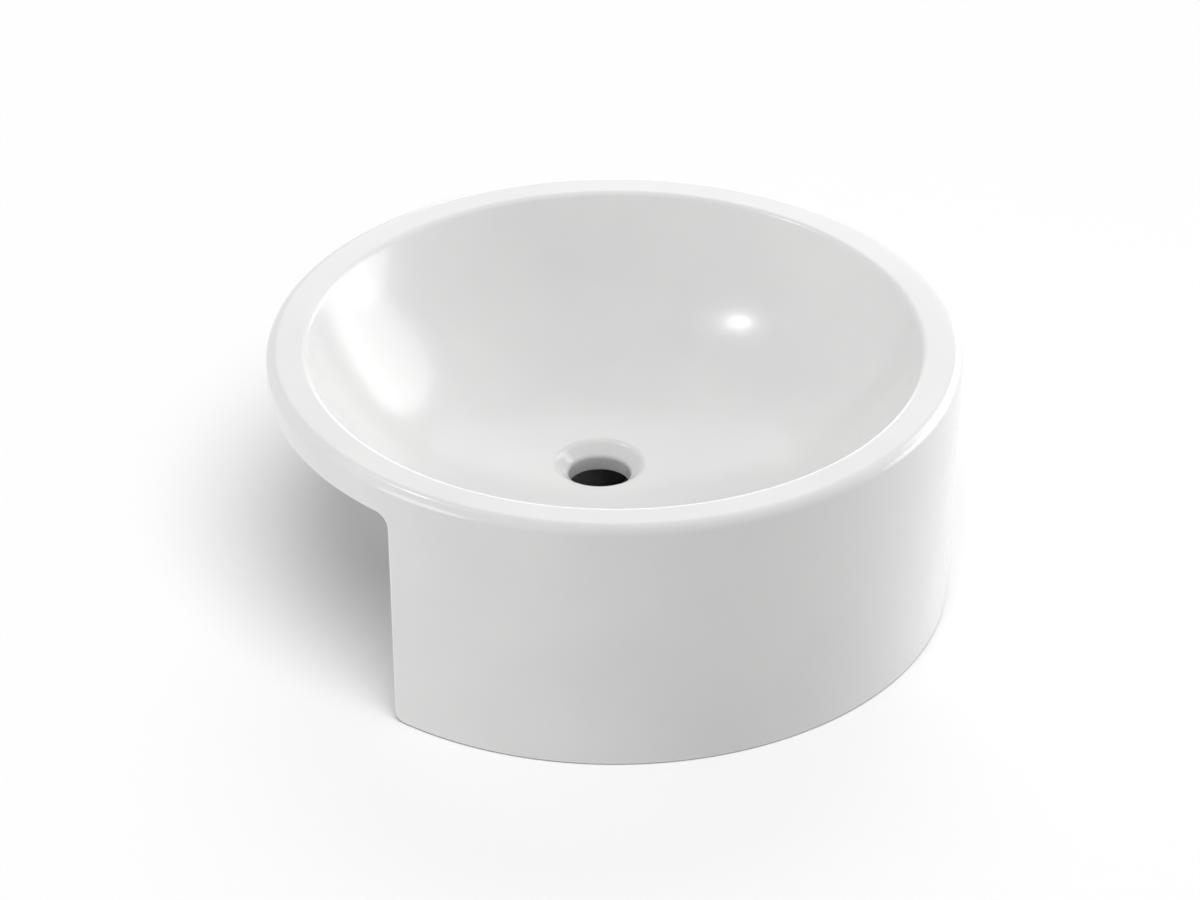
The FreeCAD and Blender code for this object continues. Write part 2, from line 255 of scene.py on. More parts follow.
@dataclass(frozen=True)
class Finish:
    """A finish whose two colours cloud into each other and whose roughness varies.

    cloud and wear are the scale and detail of the patterns of its colour and of its roughness. reliefs
    lie one on the other, the lowest first, and sockets are the shader's other settings.
    """

    name: str
    pale: Colour
    deep: Colour
    cloud: Pair
    wear: Pair
    roughness: Pair
    reliefs: tuple[Relief, ...]
    stretch: tuple[float, float, float] = (1.0, 1.0, 1.0)
    sockets: Sockets = ()

    def material(self) -> bpy.types.Material:
        """Build the finish.

        Returns:
            The material.
        """
        made = bpy.data.materials.new(self.name)
        nodes = Nodes(made)
        shader = nodes.add("ShaderNodeBsdfPrincipled")
        nodes.join(shader.outputs["BSDF"], nodes.add("ShaderNodeOutputMaterial").inputs["Surface"])
        clouding = nodes.spread(nodes.noise(*self.cloud, self.stretch), 0.0, 1.0)
        nodes.join(nodes.blend(clouding, self.deep, self.pale), shader.inputs["Base Color"])
        nodes.join(nodes.spread(nodes.noise(*self.wear), *self.roughness), shader.inputs["Roughness"])
        normal = None
        for layer in self.reliefs:
            normal = nodes.relief(layer, normal)
        nodes.join(normal, shader.inputs["Normal"])
        for socket, value in self.sockets:
            shader.inputs[socket].default_value = value
        return made


@dataclass(frozen=True)
class Glaze(Finish):
    """A thick white glaze over a white body: faint clouding, an almost flat ripple, a clear gloss."""

    name: str = "white_glaze"
    pale: Colour = (0.80, 0.80, 0.795)
    deep: Colour = (0.765, 0.765, 0.762)
    cloud: Pair = (9.0, 4.0)
    wear: Pair = (35.0, 3.0)
    roughness: Pair = (0.18, 0.23)
    reliefs: tuple[Relief, ...] = (Relief(60.0, 2.0, 0.00004, 0.5), Relief(420.0, 2.0, 0.000006, 0.5))
    sockets: Sockets = (
        ("IOR", 1.5), ("Specular IOR Level", 0.5), ("Coat Weight", 0.12), ("Coat Roughness", 0.08))


@dataclass(frozen=True)
class Bisque(Finish):
    """Bare fired clay, where the foot is wiped clean of glaze before firing: matt, grainy and rubbed."""

    name: str = "bare_clay"
    pale: Colour = (0.68, 0.66, 0.61)
    deep: Colour = (0.52, 0.49, 0.44)
    cloud: Pair = (160.0, 6.0)
    wear: Pair = (90.0, 4.0)
    roughness: Pair = (0.72, 0.92)
    reliefs: tuple[Relief, ...] = (Relief(2400.0, 4.0, 0.00012, 0.7), Relief(300.0, 3.0, 0.0003, 0.4))


@dataclass(frozen=True)
class ZincPlate(Finish):
    """Bright zinc plate on pressed or turned steel, with crystal clouding and a few duller stains."""

    name: str = "zinc_plate"
    pale: Colour = (0.66, 0.67, 0.68)
    deep: Colour = (0.47, 0.48, 0.50)
    cloud: Pair = (140.0, 5.0)
    wear: Pair = (260.0, 4.0)
    roughness: Pair = (0.24, 0.46)
    reliefs: tuple[Relief, ...] = (Relief(900.0, 3.0, 0.00004, 0.5), Relief(3000.0, 2.0, 0.00002, 0.4))
    sockets: Sockets = (("Metallic", 1.0),)


@dataclass(frozen=True)
class Nylon(Finish):
    """Off-white moulded nylon: waxy, slightly see-through, with flow marks and a fine spark grain."""

    name: str = "nylon_moulding"
    pale: Colour = (0.72, 0.69, 0.61)
    deep: Colour = (0.62, 0.59, 0.50)
    cloud: Pair = (180.0, 3.0)
    wear: Pair = (300.0, 3.0)
    roughness: Pair = (0.38, 0.52)
    reliefs: tuple[Relief, ...] = (Relief(4000.0, 2.0, 0.00003, 0.5),)
    stretch: tuple[float, float, float] = (1.0, 1.0, 0.3)
    sockets: Sockets = (
        ("Subsurface Weight", 0.15), ("Subsurface Radius", (0.002, 0.0018, 0.0014)))


@dataclass(frozen=True)
class Rubber(Finish):
    """Black moulded rubber: dull and pebbled, greyer where dust sits."""

    name: str = "pad_rubber"
    pale: Colour = (0.05, 0.05, 0.052)
    deep: Colour = (0.018, 0.018, 0.019)
    cloud: Pair = (220.0, 5.0)
    wear: Pair = (500.0, 3.0)
    roughness: Pair = (0.62, 0.86)
    reliefs: tuple[Relief, ...] = (Relief(2600.0, 3.0, 0.00008, 0.6),)


# ---------------------------------------------------------------- mesh helpers


def in_millimetres(source: bpy.types.Object) -> bmesh.types.BMesh:
    """Copy an object's mesh, which is in metres.

    Args:
        source: The object.

    Returns:
        The copy, in millimetres.
    """
    bm = bmesh.new()
    bm.from_mesh(source.data)
    bmesh.ops.scale(bm, verts=bm.verts, vec=(1.0 / TO_METRES,) * 3)
    return bm


def new_object(bm: bmesh.types.BMesh, name: str, *materials: bpy.types.Material) -> bpy.types.Object:
    """Turn a bmesh in millimetres into an object whose mesh is in metres.

    Args:
        bm: The shape. It is freed.
        name: The object's name.
        *materials: The object's materials, in slot order.

    Returns:
        The new object, linked into the scene.
    """
    bmesh.ops.scale(bm, verts=bm.verts, vec=(TO_METRES,) * 3)
    mesh = bpy.data.meshes.new(name)
    bm.to_mesh(mesh)
    bm.free()
    for material in materials:
        mesh.materials.append(material)
    made = bpy.data.objects.new(name, mesh)
    bpy.context.scene.collection.objects.link(made)
    return made


def profile_edges(bm: bmesh.types.BMesh, profile: Profile) -> list[bmesh.types.BMEdge]:
    """Draw an open profile in the plane that faces the front.

    Args:
        bm: Where it is drawn.
        profile: Radius and height of each point.

    Returns:
        The profile's edges.
    """
    verts = [bm.verts.new((0.0, -radius, height)) for radius, height in profile]
    return [bm.edges.new(pair) for pair in zip(verts, verts[1:])]


def spin_profile(bm: bmesh.types.BMesh, profile: Profile, steps: int) -> list[bmesh.types.BMVert]:
    """Turn an open profile into a surface all round the Z axis.

    Args:
        bm: Where it is made.
        profile: Radius and height of each point. Points on the axis are merged.
        steps: How many columns the surface has.

    Returns:
        The surface's vertices.
    """
    before = set(bm.verts)
    edges = profile_edges(bm, profile)
    verts = {v for e in edges for v in e.verts}
    bmesh.ops.spin(bm, geom=[*verts, *edges], cent=(0, 0, 0), axis=(0, 0, 1), dvec=(0, 0, 0),
                   angle=2.0 * math.pi, steps=steps, use_merge=True, use_duplicate=False)
    made = [v for v in bm.verts if v not in before]
    poles = [v for v in made if v.co.xy.length < FINE_MERGE]
    bmesh.ops.remove_doubles(bm, verts=poles, dist=FINE_MERGE)
    return [v for v in bm.verts if v not in before]


def arc_points(centre: Pair, radius: float, start_deg: float, end_deg: float, count: int) -> Profile:
    """Return points along an arc of a profile, both ends included.

    Args:
        centre: Radius and height of the arc's centre.
        radius: The arc's radius.
        start_deg: Its first angle above the outward direction.
        end_deg: Its last angle.
        count: How many steps it has.

    Returns:
        The points.
    """
    points = []
    for step in range(count + 1):
        angle = math.radians(start_deg + (end_deg - start_deg) * step / count)
        points.append((centre[0] + radius * math.cos(angle), centre[1] + radius * math.sin(angle)))
    return points


def combine(base: bpy.types.Object, other: bpy.types.Object, how: Join) -> None:
    """Cut another solid from a solid, or add it to it.

    Args:
        base: The solid that is kept.
        other: The solid that is used up.
        how: Whether the other is cut off or added.
    """
    modifier = base.modifiers.new("solid", "BOOLEAN")
    modifier.operation = how.value
    modifier.solver = "EXACT"
    modifier.object = other
    dg = bpy.context.evaluated_depsgraph_get()
    mesh = bpy.data.meshes.new_from_object(base.evaluated_get(dg))
    base.modifiers.clear()
    old = base.data
    base.data = mesh
    bpy.data.meshes.remove(old)
    bpy.data.objects.remove(other)


def smooth(made: bpy.types.Object, sharp_deg: float) -> None:
    """Shade an object smooth, apart from its sharp edges, and let large faces lead at their edges.

    Args:
        made: The object.
        sharp_deg: Edges that turn by more than this stay sharp.
    """
    bm = bmesh.new()
    bm.from_mesh(made.data)
    for face in bm.faces:
        face.smooth = True
    for edge in bm.edges:
        edge.smooth = len(edge.link_faces) == 2 and edge.calc_face_angle(0.0) < math.radians(sharp_deg)
    bm.to_mesh(made.data)
    bm.free()
    modifier = made.modifiers.new("shading", "WEIGHTED_NORMAL")
    modifier.keep_sharp = True
    modifier.weight = 50


# ---------------------------------------------------------------- basin body


@dataclass
class BasinBody:
    """The fired ceramic: rim, bowl, drum, waste boss and lugs. Sizes are in millimetres."""

    height: float = 200.0
    rim_radius: float = 250.0
    draft: float = math.radians(2.0)
    rim_thickness: float = 27.0
    top_edge: float = 8.0
    back_wall: float = 62.0
    back_top: float = 10.0
    back_foot: float = 8.0
    edge: float = 3.0
    skirt: float = 12.0
    skirt_corner: float = 14.0
    foot_edge: float = 1.5
    opening_radius: float = 225.0
    inner_edge: float = 5.5
    bowl_depth: float = 104.0
    wall_slope: float = math.radians(60.0)
    floor_slope: float = math.radians(4.0)
    floor_curve: float = 330.0
    wall: float = 12.0
    underside_fillet: float = 8.0
    waste_offset: float = 12.0
    waste_radius: float = 22.5
    recess_radius: float = 32.0
    recess_depth: float = 8.5
    waste_length: float = 11.0
    boss_radius: float = 36.0
    clamp_radius: float = 208.0
    lug_radius: float = 12.0
    lug_face: float = 138.0
    plug_hole: float = 6.05
    plug_depth: float = 13.05
    flare: float = math.radians(17.0)
    flare_rise: float = 3.0
    boss_bend: float = 3.0
    soft_corner: float = 1.5
    hole_chamfer: float = 0.4
    lip_bend: float = 3.0
    hole_bend: float = 2.2
    hole_ring: float = 0.8
    hole_row: float = 6.0
    tuck: float = 10.0
    lug_tuck: float = 8.0
    margin: float = 20.0
    edge_band: float = 1.5
    level_band: float = 0.5
    sharp_deg: float = 32.0
    corner_hold: float = math.radians(3.5)
    corner_ease: float = math.radians(9.0)
    side_rows: tuple[float, ...] = (184.5, 150.0, 130.0, 110.0, 90.0, 70.0, 50.0, 30.0, 14.0)
    hollow_rows: tuple[float, ...] = (60.0, 120.0)
    columns: int = 180
    glaze: Glaze = field(default_factory=Glaze)
    bisque: Bisque = field(default_factory=Bisque)

    # Sizes that follow from the ones above

    @property
    def underside(self) -> float:
        """Height of the rim's underside."""
        return self.height - self.rim_thickness

    @property
    def side_top(self) -> Pair:
        """Radius and height where the side meets the rounded top edge."""
        return (self.rim_radius - self.top_edge + self.top_edge * math.cos(self.draft),
                self.height - self.top_edge - self.top_edge * math.sin(self.draft))

    def side_radius(self, height: float) -> float:
        """Return the radius of the leaning side at a height."""
        radius, top = self.side_top
        return radius - (top - height) * math.tan(self.draft)

    @property
    def mouth(self) -> Pair:
        """Radius and depth where the rim's inner rounding meets the bowl."""
        return (self.opening_radius - self.inner_edge * math.sin(self.wall_slope),
                self.inner_edge * (1.0 - math.cos(self.wall_slope)))

    @property
    def turn_angle(self) -> float:
        """Angle from the front to where the back wall meets the side at the rim's underside."""
        return math.acos(-self.back_wall / self.side_radius(self.underside))

    @property
    def unrolled(self) -> float:
        """Millimetres of the unrolled side to a radian, true to the cut's shape at the back wall."""
        return self.side_radius(self.underside) * math.sin(self.turn_angle)

    @property
    def boss_end(self) -> float:
        """Height of the boss's lower face."""
        return self.height - self.bowl_depth - self.recess_depth - self.waste_length

    def drift(self, height: float) -> float:
        """Find how far the bowl's circles have moved back at a height.

        Args:
            height: The height.

        Returns:
            The distance.
        """
        depth = self.height - height
        share = (depth - self.mouth[1]) / (self.bowl_depth - self.mouth[1])
        return self.waste_offset * min(1.0, max(0.0, share)) ** 2

    def bowl_arcs(self) -> list[tuple[float, float, float, float, float]]:
        """Find the two arcs of the bowl's profile, which meet without a bend.

        Returns:
            The wall's and the floor's arcs: centre radius, centre height, radius, first and last slope.
        """
        run = self.mouth[0] - self.recess_radius
        rise = self.bowl_depth - self.mouth[1]

        def wall_curve(slope: float) -> float:
            """Return the wall's radius if the two arcs meet at a slope."""
            flat = self.floor_curve * (math.sin(slope) - math.sin(self.floor_slope))
            return (run - flat) / (math.sin(self.wall_slope) - math.sin(slope))

        def climb(slope: float) -> float:
            """Return how far both arcs climb if they meet at a slope."""
            floor = self.floor_curve * (math.cos(self.floor_slope) - math.cos(slope))
            return floor + wall_curve(slope) * (math.cos(slope) - math.cos(self.wall_slope))

        low, high = self.floor_slope, 0.9 * self.wall_slope
        while high - low > 1e-9:
            middle = 0.5 * (low + high)
            if climb(middle) > rise:
                low = middle
            else:
                high = middle
        curve = wall_curve(low)
        mouth_radius, mouth_depth = self.mouth
        return [
            (mouth_radius - curve * math.sin(self.wall_slope),
             self.height - mouth_depth + curve * math.cos(self.wall_slope), curve, self.wall_slope, low),
            (self.recess_radius - self.floor_curve * math.sin(self.floor_slope),
             self.height - self.bowl_depth + self.floor_curve * math.cos(self.floor_slope),
             self.floor_curve, low, self.floor_slope),
        ]

    def bowl_profile(self, outside: float, wall_steps: int, floor_steps: int) -> Profile:
        """Return the bowl's profile from its mouth down to the edge of the waste recess.

        Args:
            outside: How far outside the inner surface it lies.
            wall_steps: Steps along the wall's arc.
            floor_steps: Steps along the floor's arc.

        Returns:
            Radius and height of each point.
        """
        points: Profile = []
        for (radius, height, curve, start, end), steps in zip(self.bowl_arcs(), (wall_steps, floor_steps)):
            if points:
                points.pop()
            for step in range(steps + 1):
                slope = start + (end - start) * step / steps
                points.append((radius + (curve + outside) * math.sin(slope),
                               height - (curve + outside) * math.cos(slope)))
        return points

    # Outside: the side, the cut's rounded edge, the recess and the foot

    def flat_side(self) -> bmesh.types.BMesh:
        """Return the side unrolled: x is the way round, y the height and z the depth below the surface.

        Returns:
            The side as one sheet, with its lower edge rounded and cut into columns and rows.
        """
        bm = bmesh.new()
        half = self.unrolled * math.pi
        turn = self.unrolled * self.turn_angle
        over = self.margin
        top = self.side_top[1]
        corners = [(half + over, top + over), (-half - over, top + over), (-half - over, self.underside),
                   (-turn, self.underside), (-turn, 0.0), (turn, 0.0), (turn, self.underside),
                   (half + over, self.underside)]
        verts = [bm.verts.new((x, y, -self.edge)) for x, y in corners]
        bm.faces.new(verts)
        top_pair, foot_pair = [verts[3], verts[6]], [verts[4], verts[5]]
        for pair, radius in ((top_pair, self.back_top), (foot_pair, self.back_foot)):
            bmesh.ops.bevel(bm, geom=pair, offset=radius, offset_type="OFFSET", segments=8,
                            profile=0.5, affect="VERTICES", material=-1)
        bm.faces.ensure_lookup_table()
        steps = 5
        reached = (0.0, self.edge)
        for step in range(1, steps + 1):
            angle = math.radians(90.0 * (1.0 - step / steps))
            target = (self.edge * (1.0 - math.sin(angle)), self.edge * (1.0 - math.cos(angle)))
            inner = max(bm.faces, key=lambda f: f.calc_area())
            self.step_face(bm, inner, target[0] - reached[0], reached[1] - target[1])
            reached = target
        self.step_face(bm, max(bm.faces, key=lambda f: f.calc_area()), self.edge_band, 0.0)
        for sign in (-1.0, 1.0):
            self.cut_plane(bm, (sign * half, 0, 0), (sign, 0, 0), True)
        self.cut_plane(bm, (0, top, 0), (0, 1, 0), True)
        for column in range(1, self.columns):
            x = -half + 2.0 * half * column / self.columns
            self.cut_plane(bm, (x, 0, 0), (1, 0, 0), False)
        for height in self.side_rows:
            self.cut_plane(bm, (0, height, 0), (0, 1, 0), False)
        bmesh.ops.remove_doubles(bm, verts=bm.verts, dist=SHEET_MERGE)
        return bm

    @staticmethod
    def cut_plane(bm: bmesh.types.BMesh, point: tuple[float, float, float],
                  normal: tuple[float, float, float], drop: bool) -> None:
        """Cut a mesh along a plane.

        Args:
            bm: The mesh.
            point: A point of the plane.
            normal: The plane's normal.
            drop: Whether what lies beyond the plane goes.
        """
        bmesh.ops.bisect_plane(bm, geom=[*bm.verts, *bm.edges, *bm.faces], dist=0.01, plane_co=point,
                               plane_no=normal, clear_outer=drop, clear_inner=False)

    def wrap(self, flat: Vector) -> Vector:
        """Return where a point of the unrolled side lies on the basin.

        Args:
            flat: Way round, height and depth below the surface (negative).

        Returns:
            The point on the basin.
        """
        turn = self.turn_angle
        angle = abs(flat.x) / self.unrolled
        near = 1.0 - min(1.0, max(0.0, (abs(angle - turn) - self.corner_hold) / self.corner_ease))
        near = near * near * (3.0 - 2.0 * near)
        radius = self.side_radius(flat.y)
        lean = math.acos(max(-1.0, -self.back_wall / self.side_radius(min(flat.y, self.underside)))) - turn
        angle += near * lean
        outward = Vector((math.sin(angle), -math.cos(angle), 0.0))
        inward = (-outward).lerp(Vector((-1.0, 0.0, 0.0)), near).normalized()
        point = outward * radius - inward * flat.z
        point.z = flat.y
        if flat.x < 0.0:
            point.x = -point.x
        return point

    def outer_solid(self) -> bpy.types.Object:
        """Build the side, the recess behind the back wall and the foot.

        Returns:
            One closed solid.
        """
        bm = self.flat_side()
        for vert in bm.verts:
            vert.co = self.wrap(vert.co)
        bmesh.ops.remove_doubles(bm, verts=bm.verts, dist=SHEET_MERGE)
        top = self.side_top[1]
        rim = [e for e in bm.edges if e.is_boundary]
        upper = [e for e in rim if min(v.co.z for v in e.verts) > top - self.level_band]
        lower = [e for e in rim if e not in set(upper)]
        self.snap_back_wall({v for e in lower for v in e.verts})
        before = self.back_wall - self.back_foot - self.edge_band
        behind = self.back_wall + self.back_top + self.edge_band

        def in_recess(edge: bmesh.types.BMEdge) -> bool:
            """Say whether an edge belongs to the upright part of the cut.

            Args:
                edge: An edge of the cut.

            Returns:
                Whether it does.
            """
            middle = 0.5 * (edge.verts[0].co + edge.verts[1].co)
            return TOUCH < middle.z < self.underside - TOUCH and before < middle.y < behind

        sides = [e for e in lower if in_recess(e)]
        bmesh.ops.bridge_loops(bm, edges=sides)
        open_edges = [e for e in bm.edges if e.is_boundary]
        for level in (top, self.underside, 0.0):
            ring = [e for e in open_edges if all(abs(v.co.z - level) < self.level_band for v in e.verts)]
            bmesh.ops.contextual_create(bm, geom=ring)
        bmesh.ops.recalc_face_normals(bm, faces=bm.faces)
        return new_object(bm, "outer_solid")

    def snap_back_wall(self, verts: set[bmesh.types.BMVert]) -> None:
        """Put the points of the cut's upright edges exactly on the back wall.

        Args:
            verts: The points of the side's lower edge.
        """
        for vert in verts:
            if self.back_foot + TOUCH < vert.co.z < self.underside - self.back_top - TOUCH:
                vert.co.y = self.back_wall

    def cavity(self) -> bpy.types.Object:
        """Build the hollow inside the drum, flared a little where it opens at the foot.

        Returns:
            One closed solid that reaches below the foot.
        """
        bm = bmesh.new()
        inner = self.side_radius(0.0) - self.skirt
        back = self.back_wall - self.skirt
        made = bmesh.ops.create_circle(bm, cap_ends=True, radius=inner, segments=self.columns,
                                       matrix=Matrix.Translation((0, 0, -self.margin)))
        bmesh.ops.rotate(bm, verts=made["verts"], cent=(0, 0, 0),
                         matrix=Matrix.Rotation(0.5 * math.pi, 3, "Z"))
        self.cut_plane(bm, (0, back, 0), (0, 1, 0), True)
        corners = [v for v in bm.verts if abs(v.co.y - back) < 1e-3 and abs(v.co.x) > 0.5 * inner]
        bmesh.ops.bevel(bm, geom=corners, offset=self.skirt_corner, offset_type="OFFSET", segments=7,
                        profile=0.5, affect="VERTICES", material=-1)
        face = max(bm.faces, key=lambda f: f.calc_area())
        if face.normal.z < 0.0:
            face.normal_flip()
        self.step_face(bm, face, -self.foot_edge, 0.0)
        ring = [f for f in bm.faces if f is not face]
        bmesh.ops.delete(bm, geom=ring, context="FACES")
        loose = [v for v in bm.verts if not v.link_faces]
        bmesh.ops.delete(bm, geom=loose, context="VERTS")
        face = bm.faces[:][0]
        floor = face.copy()
        floor.normal_flip()
        levels = [(-self.margin, -self.foot_edge), (0.0, -self.foot_edge)]
        for step in range(1, 4):
            angle = math.radians(30.0 * step)
            levels.append((self.foot_edge * (1.0 - math.cos(angle)),
                           -self.foot_edge * (1.0 - math.sin(angle))))
        levels += [(height, 0.0) for height in (*self.hollow_rows, self.underside)]
        for (low, wide), (high, narrow) in zip(levels, levels[1:]):
            self.step_face(bm, face, narrow - wide, high - low)
        for vert in bm.verts:
            stretch = (self.side_radius(vert.co.z) - self.skirt) / inner if vert.co.z > 0.0 else 1.0
            vert.co.x *= stretch
            vert.co.y *= stretch if vert.co.y < 0.0 else 1.0
        bmesh.ops.remove_doubles(bm, verts=bm.verts, dist=FINE_MERGE)
        bmesh.ops.recalc_face_normals(bm, faces=bm.faces)
        return new_object(bm, "drum_hollow")

    @staticmethod
    def step_face(bm: bmesh.types.BMesh, face: bmesh.types.BMFace, draw_in: float, rise: float) -> None:
        """Draw the outline of a flat face in and move the face outwards.

        Args:
            bm: The mesh.
            face: The face.
            draw_in: How far the outline moves in. It grows if this is negative.
            rise: How far the face moves along its normal.
        """
        bmesh.ops.inset_region(bm, faces=[face], thickness=draw_in, depth=rise, use_even_offset=True,
                               use_boundary=True)

    def bowl_outside(self) -> bpy.types.Object:
        """Build the outside of the bowl and the boss under the waste.

        Returns:
            One closed solid that reaches into the rim.
        """
        fillet = self.underside_fillet
        centre_radius, centre_height, curve, _, _ = self.bowl_arcs()[0]
        reach = curve + self.wall + fillet
        fillet_height = self.underside - fillet
        fillet_radius = centre_radius + math.sqrt(reach ** 2 - (centre_height - fillet_height) ** 2)
        touch = math.degrees(math.atan2(centre_height - fillet_height, centre_radius - fillet_radius))
        steepest = 90.0 + math.degrees(self.flare)
        flare = arc_points((fillet_radius, fillet_height), fillet, steepest, touch, 6)
        lead = (flare[0][0] + self.flare_rise / math.tan(self.flare), flare[0][1] + self.flare_rise)
        outside = [p for p in self.bowl_profile(self.wall, 18, 14)
                   if self.boss_radius + self.boss_bend + 1.0 < p[0] < flare[-1][0] - 1.0]
        boss_top, end = min(p[1] for p in outside), self.boss_end
        hollow = arc_points((self.boss_radius + self.boss_bend, boss_top - 1.1 * self.boss_bend),
                            self.boss_bend, 90.0, 180.0, 4)
        bend = self.soft_corner
        rounded = arc_points((self.boss_radius - bend, end + bend), bend, 0.0, -90.0, 3)
        profile = [(0.0, self.underside + self.tuck), (lead[0], self.underside + self.tuck), lead, *flare,
                   *outside, *hollow, *rounded, (self.waste_radius + self.hole_ring, end),
                   (self.waste_radius, end), (0.0, end)]
        bm = bmesh.new()
        for vert in spin_profile(bm, profile, self.columns):
            vert.co.y += self.drift(vert.co.z)
        bmesh.ops.recalc_face_normals(bm, faces=bm.faces)
        return new_object(bm, "bowl_outside")

    def lug(self, place: Place) -> bpy.types.Object:
        """Build a lug with its blind hole.

        Args:
            place: Which clamp it is for.

        Returns:
            The lug as a closed solid that reaches into the rim.
        """
        face, radius, hole, bend = self.lug_face, self.lug_radius, self.plug_hole, self.soft_corner
        chamfer, top = self.hole_chamfer, self.underside + self.lug_tuck
        profile = [(0.0, face + self.plug_depth), (hole, face + self.plug_depth), (hole, face + chamfer),
                   (hole + chamfer, face), (radius - bend - 0.1, face),
                   *arc_points((radius - bend, face + bend), bend, -80, 0, 4), (radius, top), (0.0, top)]
        bm = bmesh.new()
        verts = spin_profile(bm, profile, 48)
        bmesh.ops.translate(bm, verts=verts, vec=(0, self.clamp_radius, 0))
        bmesh.ops.rotate(bm, verts=verts, cent=(0, 0, 0), matrix=Matrix.Rotation(place.angle, 3, "Z"))
        bmesh.ops.recalc_face_normals(bm, faces=bm.faces)
        return new_object(bm, "lug_" + place.label)

    # Inside: rounded rim, bowl and waste

    def inside(self, bm: bmesh.types.BMesh) -> None:
        """Add the rim's top, the bowl and the waste hole, from the side's top edge to the boss.

        Args:
            bm: The body, open at its top and at the foot of the waste hole.
        """
        edge_centre = (self.rim_radius - self.top_edge, self.height - self.top_edge)
        outer = arc_points(edge_centre, self.top_edge, -math.degrees(self.draft), 90.0, 9)
        mouth_centre = (self.opening_radius, self.height - self.inner_edge)
        slope = math.degrees(self.wall_slope)
        inner = arc_points(mouth_centre, self.inner_edge, 90.0, 90.0 + slope, 6)
        land = [(radius, self.height) for radius in (
            edge_centre[0] - self.edge_band, 0.5 * (edge_centre[0] + self.opening_radius),
            self.opening_radius + self.edge_band)]
        bowl = self.bowl_profile(0.0, 26, 16)
        floor_z = self.height - self.bowl_depth
        recess_z = floor_z - self.recess_depth
        end = self.boss_end
        lip = self.rounded_corner(bowl[-2], (self.recess_radius, floor_z), (self.waste_radius, recess_z),
                                  self.lip_bend, 5)
        edge = self.rounded_corner((self.recess_radius, floor_z), (self.waste_radius, recess_z),
                                   (self.waste_radius, end), self.hole_bend, 4)
        profile = [*outer, *land, *inner, *bowl[1:-1], *lip, *edge,
                   (self.waste_radius, recess_z - self.hole_row), (self.waste_radius, end)]
        for vert in spin_profile(bm, profile, self.columns):
            if vert.co.xy.length < self.opening_radius:
                vert.co.y += self.drift(vert.co.z)

    @staticmethod
    def rounded_corner(before: Pair, corner: Pair, after: Pair, reach: float, steps: int) -> Profile:
        """Return a soft bend in place of a profile's corner.

        Args:
            before: The point before the corner.
            corner: The corner.
            after: The point after it.
            reach: How far from the corner the bend starts and ends.
            steps: How many steps the bend has.

        Returns:
            The bend's points.
        """
        middle = Vector(corner)
        start = middle + (Vector(before) - middle).normalized() * reach
        end = middle + (Vector(after) - middle).normalized() * reach
        points = []
        for step in range(steps + 1):
            share = step / steps
            point = start * (1 - share) ** 2 + middle * (2 * share * (1 - share)) + end * share ** 2
            points.append((point.x, point.y))
        return points

    def build(self) -> bpy.types.Object:
        """Build the body from its outside, its hollows and its inside, and dress it.

        Returns:
            The finished body.
        """
        made = self.outer_solid()
        combine(made, self.cavity(), Join.CUT)
        combine(made, self.bowl_outside(), Join.ADD)
        for place in Place:
            combine(made, self.lug(place), Join.ADD)
        bm = in_millimetres(made)
        bpy.data.objects.remove(made)
        top = self.side_top[1]
        end = self.boss_end
        lids = [f for f in bm.faces if all(v.co.z > top - LEVEL for v in f.verts)]
        hole = [f for f in bm.faces if all(abs(v.co.z - end) < LEVEL for v in f.verts)
                and (f.calc_center_median().xy - Vector((0.0, self.waste_offset))).length
                < self.waste_radius - TOUCH]
        LOG.info("body: %d faces, %d lid and %d hole faces taken off", len(bm.faces), len(lids), len(hole))
        bmesh.ops.delete(bm, geom=[*lids, *hole], context="FACES")
        self.inside(bm)
        bmesh.ops.remove_doubles(bm, verts=bm.verts, dist=SEAM_MERGE)
        bmesh.ops.recalc_face_normals(bm, faces=bm.faces)
        for face in bm.faces:
            low = all(abs(v.co.z) < LEVEL for v in face.verts)
            face.material_index = 1 if low else 0
        LOG.info("body: %d open edges", sum(e.is_boundary for e in bm.edges))
        body = new_object(bm, "basin_body", self.glaze.material(), self.bisque.material())
        smooth(body, self.sharp_deg)
        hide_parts("ceramic_body")
        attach(body, "basin")
        return body


# ---------------------------------------------------------------- clamps


